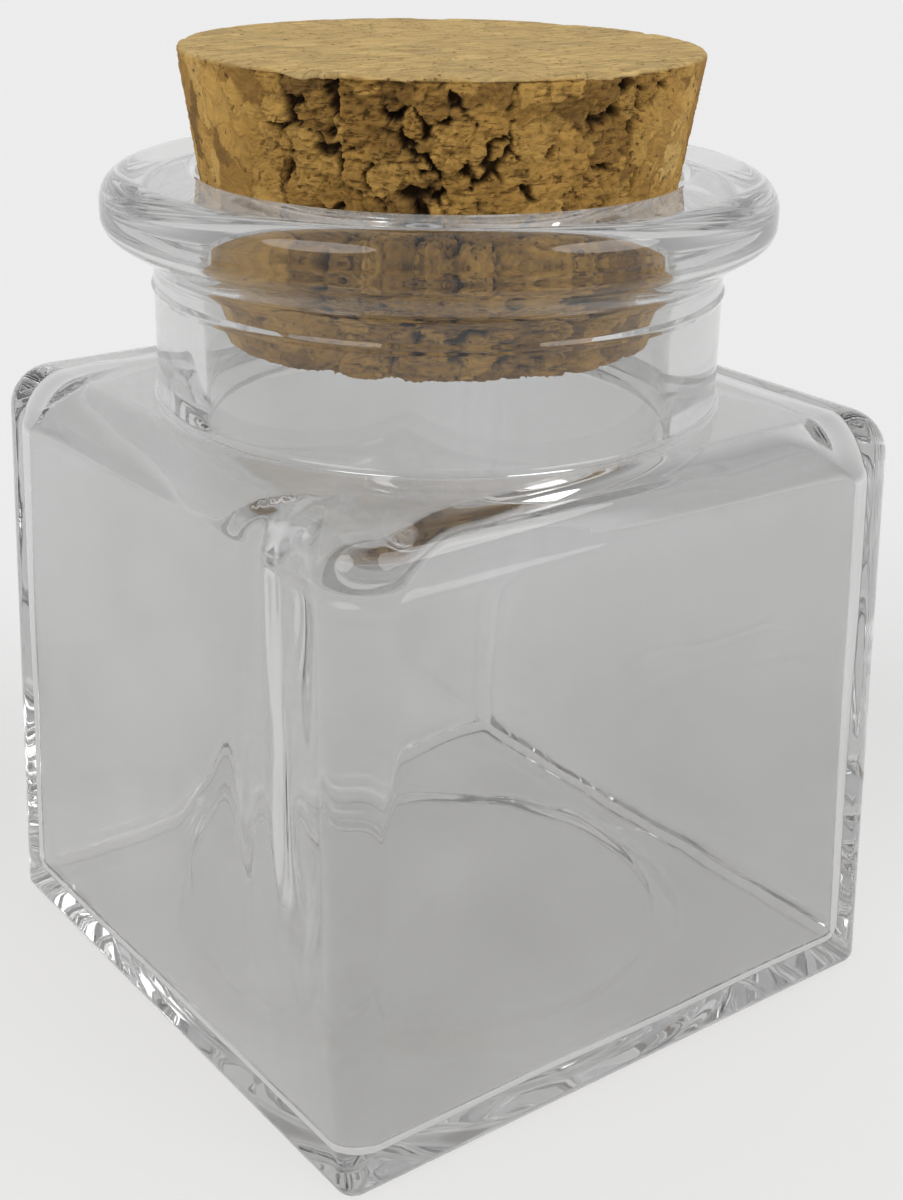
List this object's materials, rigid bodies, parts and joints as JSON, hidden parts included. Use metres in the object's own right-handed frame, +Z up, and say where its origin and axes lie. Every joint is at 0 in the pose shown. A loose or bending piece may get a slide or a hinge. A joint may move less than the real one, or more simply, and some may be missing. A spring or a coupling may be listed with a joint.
{
  "type": "glass jar with cork stopper",
  "caption": "Square clear glass storage jar with a round neck and rolled lip, closed by a tapered cork stopper that lifts out of the mouth.",
  "frame": {"origin": "centre of the base, on the surface the jar stands on", "axes": "+Z up along the jar's axis; +X and +Y square to two neighbouring panels"},
  "size_m": [0.06, 0.06, 0.0848],
  "materials": {
    "clear_glass": "glossy moulded clear soda-lime glass",
    "agglomerated_cork": "raw granular agglomerated cork, ground to a taper"
  },
  "bodies": {
    "jar": {"glass_jar": "clear_glass"},
    "stopper": {"cork_stopper": "agglomerated_cork"}
  },
  "joints": [
    {"name": "stopper_lift", "type": "slide", "parent": "jar", "child": "stopper", "axis": [0, 0, 1], "range_m": [0, 0.04]}
  ]
}
